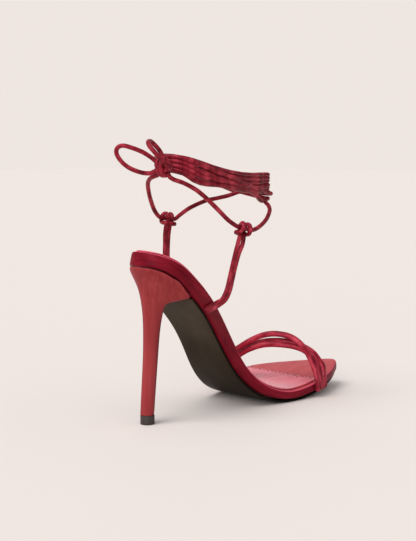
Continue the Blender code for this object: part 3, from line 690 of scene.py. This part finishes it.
wrap = {"rear": 18.5, "long": 111.5, "top": 188.4, "drop": 32.9, "half": 17.0,
        "rearRound": 14.0, "frontRound": 3.6, "size": 3.2, "thick": 3.5 * mm, "samples": 64,
        "sagAt": 0.86, "sagLength": 0.15, "sag": 3.6, "crossFrom": 0.72,
        "wander": 0.45, "wanderScale": 0.035, "wanderApart": 3.7}
# share of its length, half width, then top and bottom of the bundle on the inner and outer side
rowNames = ("along", "half", "innerTop", "innerLow", "outerTop", "outerLow")
wrapRows = [
    (0.00, 0.74, 0.00, 0.286, 0.00, 0.286), (0.06, 0.81, 0.05, 0.377, 0.00, 0.288),
    (0.12, 0.87, 0.10, 0.544, 0.00, 0.292), (0.19, 0.95, 0.165, 0.644, 0.01, 0.300),
    (0.30, 1.00, 0.26, 0.678, 0.04, 0.340), (0.44, 0.95, 0.34, 0.754, 0.145, 0.590),
    (0.60, 0.78, 0.407, 0.869, 0.304, 0.690), (0.76, 0.54, 0.43, 0.951, 0.42, 0.857),
    (0.90, 0.30, 0.43, 0.991, 0.43, 0.936), (1.00, 0.17, 0.42, 1.00, 0.42, 1.00),
]
# level at the rear and at the front, how far out it lies at both, and where it sags
strands = [
    {"rear": 0.00, "front": 0.00, "rearOut": 0.0, "frontOut": 0.0},
    {"rear": 0.34, "front": 0.13, "rearOut": 0.0, "frontOut": 0.0},
    {"rear": 0.67, "front": 0.26, "rearOut": 0.0, "frontOut": 0.0},
    {"rear": 1.00, "front": 0.41, "rearOut": 0.0, "frontOut": 0.0},
    {"rear": 0.64, "front": 0.54, "rearOut": 0.95, "frontOut": 0.0},
    {"rear": 0.96, "front": 0.67, "rearOut": 0.95, "frontOut": 0.0},
    {"rear": 0.00, "front": 0.78, "rearOut": 1.0, "frontOut": 1.0},
    {"rear": 0.32, "front": 0.97, "rearOut": 1.0, "frontOut": 0.0, "sags": True},
]


def rowValue(at, name):
    column = rowNames.index(name)
    for low, high in zip(wrapRows, wrapRows[1:]):
        if at <= high[0]:
            share = (at - low[0]) / (high[0] - low[0])
            return low[column] + (high[column] - low[column]) * share
    return wrapRows[-1][column]


def strandLine(strand, order):
    line = []
    size, long, samples = wrap["size"], wrap["long"], wrap["samples"]
    for step in range(2 * samples):
        turn = pi * step / samples
        along = (1 - cos(turn)) / 2
        sign, side = (-1, "inner") if step < samples else (1, "outer")
        rise = min(1.0, along * long / wrap["rearRound"])
        close = min(1.0, (1 - along) * long / wrap["frontRound"])
        spread = sqrt(1 - (1 - rise) ** 2) * sqrt(1 - (1 - close) ** 2)
        half = rowValue(along, "half") * wrap["half"] * spread
        apart = min(1.0, half / size)
        out = strand["rearOut"] + (strand["frontOut"] - strand["rearOut"]) * easeIn(
            (along - wrap["crossFrom"]) / (1 - wrap["crossFrom"]))
        level = strand["rear"] + (strand["front"] - strand["rear"]) * along
        top, low = rowValue(along, side + "Top"), rowValue(along, side + "Low")
        height = wrap["top"] - wrap["drop"] * (top + (low - top) * level)
        if strand.get("sags") and sign < 0:
            height -= wrap["sag"] * (1 - easeIn(abs(along - wrap["sagAt"]) / wrap["sagLength"]))
        ahead = wrap["rear"] + along * long + out * size * (2 * along - 1) * (1 - apart)
        place = Vector((sign * (half + out * size * apart), -ahead, height))
        stray = wrap["wander"] * noise.noise(place * wrap["wanderScale"]
                                             + Vector((order * wrap["wanderApart"], 0, 0)))
        line.append((place + Vector((stray * apart, 0, stray))) * mm)
    return line


def makeWrap():
    turns = []
    for order, strand in enumerate(strands):
        line = strandLine(strand, order)
        turns.append(tube("turn", line, wrap["thick"], closed=True, swell=cordSwell,
                          seed=seeds["turns"] + order))
    bundle = joinPieces("ankleWrap", turns)
    dress(bundle, cordSatin, "cord_satin", "ankle_wrap")


makeWrap()
print("ankle wrap done")


# side loops: a doubled cord up from the rim and hitched round the lace

sideLoops = {
    "sideLoopInner": {
        "node": "side_loop_inner", "inward": 1,
        "foot": [(-25.6, -33.8, 79.7), (-25.0, -40.5, 81.5), (-24.4, -47.3, 83.2)],
        "legs": [(-25.9, -51.8, 86.0), (-26.8, -55.3, 92.0), (-27.3, -57.8, 100.0),
                 (-28.0, -60.0, 109.0), (-29.0, -62.5, 118.5), (-30.0, -65.0, 126.0)],
        "apart": (1.4, 1.4, 1.3, 1.3, 1.5, 2.0),
        "hitch": ((-29.1, -62.4, 138.3), (-32.3, -74.6, 135.1))},
    "sideLoopOuter": {
        "node": "side_loop_outer", "inward": -1,
        "foot": [(24.8, -33.8, 79.7), (25.0, -40.5, 81.5), (25.1, -47.3, 83.2)],
        "legs": [(24.5, -44.5, 106.0), (25.0, -44.3, 114.5), (25.5, -45.0, 123.5),
                 (25.8, -45.8, 131.5)],
        "apart": (1.4, 1.35, 1.4, 1.55),
        "hitch": ((27.0, -40.3, 143.5), (25.0, -53.1, 141.9))},
}
# one side of the hitch: mm along the lace, angle round it from its face, mm from its middle
hitchTurn = [(1.65, -70, 4.6), (1.65, -35, 3.45), (1.70, 0, 3.35), (1.95, 45, 3.35),
             (2.25, 90, 3.35), (2.65, 140, 3.35), (3.15, 190, 3.35), (3.85, 235, 3.35),
             (4.45, 275, 3.45), (4.55, 305, 4.5), (3.60, 318, 5.8), (1.80, 322, 6.35)]
hitchMiddle = (0, 322, 6.45)  # where its two sides join under the lace
footShift = Vector((0, 1.06, 1.0))  # from the middle of the doubled cord to each of its feet
loopFoot = {"flatLength": 11.0 * mm, "blend": 8.0 * mm, "thin": 0.72, "wide": 1.04,
            "pleats": 0.0, "pleatPitch": 0.26 * mm}


def makeSideLoops():
    for order, (name, loop) in enumerate(sideLoops.items()):
        start, end = Vector(loop["hitch"][0]), Vector(loop["hitch"][1])
        middle, axis = (start + end) / 2, (end - start).normalized()
        face = Vector((loop["inward"], 0, 0))
        face = (face - axis * face.dot(axis)).normalized()
        upright = face.cross(axis)
        if upright.z < 0:
            upright = -upright

        def onHitch(along, angle, far):
            turn = radians(angle)
            return middle + axis * along + (face * cos(turn) + upright * sin(turn)) * far

        def sideLine(sign):
            places = [Vector(foot) - footShift * sign for foot in loop["foot"]]
            for place, apart in zip(loop["legs"], loop["apart"]):
                places.append(Vector(place) + axis * (sign * apart))
            return places + [onHitch(sign * along, angle, far) for along, angle, far in hitchTurn]

        line = smoothLine(sideLine(-1) + [onHitch(*hitchMiddle)] + list(reversed(sideLine(1))))
        cord = tube(name, line, cordSize, resolution=5, swell=cordSwell,
                    seed=seeds["loops"] + order)
        normal = Vector((-loop["inward"], 0, 0))
        for footLine in (line, list(reversed(line))):
            pressFoot(cord, footLine[:len(line) // 4], normal, loopFoot)
        dress(cord, cordSatin, "cord_satin", loop["node"])


makeSideLoops()
print("side loops done")


# three rolled straps over the front of the foot

straps = {
    "rear": [(35.3, -111.7, 3.1), (35.3, -112.5, 6.6), (35.3, -114.1, 13.4), (34.5, -114.4, 18.6),
             (31.9, -115.6, 24.8), (27.1, -117.7, 30.8), (19.0, -121.4, 36.9),
             (10.9, -125.0, 42.6), (2.7, -128.7, 47.0), (-5.4, -132.3, 48.9),
             (-13.5, -135.9, 48.6), (-20.2, -138.9, 46.5), (-26.1, -141.5, 42.2),
             (-30.5, -143.5, 36.8), (-33.9, -145.0, 30.3), (-36.4, -146.2, 23.8),
             (-38.7, -147.2, 15.2), (-38.7, -148.4, 8.4), (-38.7, -149.0, 4.8)],
    "middle": [(36.4, -117.0, 2.1), (36.4, -117.4, 5.7), (36.4, -118.3, 12.6),
               (35.6, -118.6, 17.1), (33.4, -119.6, 21.4), (28.9, -120.6, 25.4),
               (21.4, -122.6, 29.9), (13.2, -125.2, 35.1), (4.2, -128.9, 38.9),
               (-4.8, -132.9, 40.4), (-13.1, -136.9, 40.3), (-19.8, -140.9, 39.4),
               (-26.0, -144.8, 37.0), (-30.5, -148.0, 33.2), (-34.0, -149.7, 28.3),
               (-36.6, -150.8, 22.9), (-38.5, -151.7, 16.1), (-38.5, -152.9, 9.3),
               (-38.5, -153.6, 5.7)],
    "front": [(37.6, -122.3, 1.7), (37.6, -122.4, 5.4), (37.6, -122.6, 12.3),
              (36.9, -122.9, 16.8), (34.6, -123.9, 21.5), (30.0, -124.9, 26.2),
              (22.5, -126.5, 31.5), (14.1, -128.8, 36.8), (5.0, -131.9, 41.2),
              (-4.0, -135.2, 42.8), (-12.4, -138.6, 42.9), (-19.4, -142.4, 41.4),
              (-26.0, -147.4, 38.4), (-31.2, -152.0, 33.8), (-34.9, -154.2, 28.3),
              (-37.4, -155.9, 23.4), (-38.1, -156.2, 16.9), (-38.1, -157.4, 10.1),
              (-38.1, -158.1, 6.5)],
}
strapSize = 4.7 * mm
strapFoot = {"flatLength": 8.5 * mm, "blend": 10.0 * mm, "thin": 0.5, "wide": 1.2,
             "pleats": 0.34 * mm, "pleatPitch": 0.26 * mm}


def makeStraps():
    made = []
    for order, (name, route) in enumerate(straps.items()):
        line = smoothLine(route, 9)
        strap = tube(name, line, strapSize, resolution=12, swell=0.05,
                     seed=seeds["straps"] + order, roundEnds=0.5)
        for footLine, side in ((line, 1), (list(reversed(line)), -1)):
            pressFoot(strap, footLine[:len(line) // 3], Vector((side, 0, 0)), strapFoot)
        made.append(strap)
    vamp = joinPieces("vampStraps", made)
    dress(vamp, strapSatin, "strap_satin", "upper")


makeStraps()
print("vamp straps done")


# footbed, lining and outsole: refined from their solids, with the way along the sole kept on them

# the sole's top along its middle: place along the foot and height, in mm
soleLine = [(8.0, 123.0), (-6.5, 118.0), (-19.2, 109.3), (-30.2, 99.2), (-41.9, 88.4),
            (-52.8, 77.5), (-62.6, 65.6), (-71.1, 52.7), (-78.8, 39.4), (-87.4, 26.6),
            (-98.7, 16.2), (-112.9, 10.3), (-123.0, 9.0), (-135.8, 10.0), (-148.5, 12.1),
            (-161.1, 14.5), (-173.8, 16.7), (-186.5, 18.7), (-199.2, 20.8)]


def layOnSole(item):
    # three measures of each point: how far along the sole, below its top and across it
    line = smoothLine([(0, along, height) for along, height in soleLine], 16)
    tree, runs = treeOf(line), runsOf(line)
    measures, tops = [], []
    for vertex in item.data.vertices:
        here = Vector((0, vertex.co.y, vertex.co.z))
        place, index, _ = tree.find(here)
        way = (line[min(index + 1, len(line) - 1)] - line[max(index - 1, 0)]).normalized()
        upward = way.cross(Vector((1, 0, 0)))
        offset = here - place
        measures += [runs[index] + offset.dot(way), -offset.dot(upward), vertex.co.x]
        tops.append(vertex.normal.dot(upward))
    item.data.attributes.new("lay", "FLOAT_VECTOR", "POINT").data.foreach_set("vector", measures)
    return tops


# the row's places in mm; an uneven measure is its most, then its step from stitch to stitch
stitches = {"count": 27, "fromInner": -33.5, "toOuter": 38.0, "row": -150.6, "above": 60.0,
            "length": 1.8 * mm, "thick": 0.46 * mm, "bevel": 0.12 * mm, "proud": 0.08 * mm,
            "stray": (0.5, 2.3), "tip": (radians(5), 1.7), "turn": (radians(9), 3.1)}


def uneven(name, order):
    most, step = stitches[name]
    return most * sin(order * step)


def firstStitch():
    bpy.ops.object.select_all(action="DESELECT")
    bpy.ops.mesh.primitive_cylinder_add(vertices=8, radius=stitches["thick"] / 2,
                                        depth=stitches["length"], end_fill_type="NGON",
                                        rotation=(0, radians(90), 0))
    stitch = bpy.context.object
    bpy.ops.object.transform_apply(rotation=True)
    bevel = stitch.modifiers.new("bevel", "BEVEL")
    bevel.width = stitches["bevel"]
    bevel.segments = 2
    applyAll(stitch)
    bpy.ops.object.shade_smooth()
    return stitch


def makeStitches(lining):
    # one row along the lining's straight front edge: modelled once, then copied
    made = []
    for order in range(stitches["count"]):
        share = order / (stitches["count"] - 1)
        across = stitches["fromInner"] + (stitches["toOuter"] - stitches["fromInner"]) * share
        start = Vector((across, stitches["row"] + uneven("stray", order), stitches["above"])) * mm
        hit, place, _, _ = lining.ray_cast(start, Vector((0, 0, -1)))
        if not hit:
            continue
        if made:
            stitch = bpy.data.objects.new("stitch", made[0].data.copy())
            bpy.context.scene.collection.objects.link(stitch)
        else:
            stitch = firstStitch()
        stitch.location = place + Vector((0, 0, stitches["proud"]))
        stitch.rotation_euler = (0, uneven("tip", order), uneven("turn", order))
        made.append(stitch)
    for stitch in made:
        pick(stitch)
        bpy.ops.object.transform_apply(location=True, rotation=True)
    row = joinPieces("liningStitches", made)
    dress(row, stitchThread, "sock_lining")


# how far a face looks up where each colour sets in, and over what range: the painted light on the
# top, the painted highlight on the fold and the sole's dark painted edge
soleMarks = {"paintedTopLight": (0.55, 0.40), "foldIn": (0.25, 0.25), "foldOut": (0.80, 0.18),
             "foldHighlightMost": 0.85, "edge": (0.45, 0.35)}


def markAt(name, top):
    start, blend = soleMarks[name]
    return easeIn((top - start) / blend)


def makeSole():
    rim = nodeCopy("footbed", "wrappedFootbed")
    subdivide(rim, fineLevels)
    tops = layOnSole(rim)
    # painted light from above: a mask of the faces that look up
    keepValue(rim, "paintedTopLight", [markAt("paintedTopLight", top) for top in tops])
    # painted highlight: a band on the rounding between the wall and the top
    keepValue(rim, "fold", [soleMarks["foldHighlightMost"] * markAt("foldIn", top)
                            * (1 - markAt("foldOut", top)) for top in tops])
    dress(rim, rimSatin, "rim_satin", "footbed")

    lining = nodeCopy("sock", "sockLining")
    subdivide(lining, fineLevels)
    layOnSole(lining)
    dress(lining, sockLining, "sock_lining", "sock")
    makeStitches(lining)

    sole = nodeCopy("outsole", "mouldedSole")
    subdivide(sole, fineLevels)
    tops = layOnSole(sole)
    keepValue(sole, "edge", [1 - markAt("edge", abs(top)) for top in tops])
    dress(sole, outsoleRubber, "outsole", "outsole")


makeSole()
print("sole done")


# heel and its tip

heel = {"frontFrom": 0.40, "frontBlend": 0.06, "hem": 7.3 * mm, "hemCrease": 0.9,
        "tipBevel": 0.45 * mm, "tipAngle": radians(50)}


def keepEdges(item, below):
    # the lowest loop stays full, so that the satin ends as wide as the tip
    creases = item.data.attributes.new("crease_edge", "FLOAT", "EDGE")
    for edge in item.data.edges:
        if all(item.data.vertices[corner].co.z < below for corner in edge.vertices):
            creases.data[edge.index].value = heel["hemCrease"]


def makeHeel():
    post = nodeCopy("heel", "wrappedHeel")
    keepEdges(post, heel["hem"])
    subdivide(post, fineLevels)
    keepValue(post, "front", [easeIn((-vertex.normal.y - heel["frontFrom"]) / heel["frontBlend"])
                              for vertex in post.data.vertices])
    dress(post, heelSatin, "heel_satin", "heel")

    tip = nodeCopy("heel_tip", "heelTip")
    bevel = tip.modifiers.new("bevel", "BEVEL")
    bevel.width = heel["tipBevel"]
    bevel.segments = 3
    bevel.angle_limit = heel["tipAngle"]
    applyAll(tip)
    dress(tip, tipRubber, "heel_tip", "heel_tip")


makeHeel()
print("heel done")
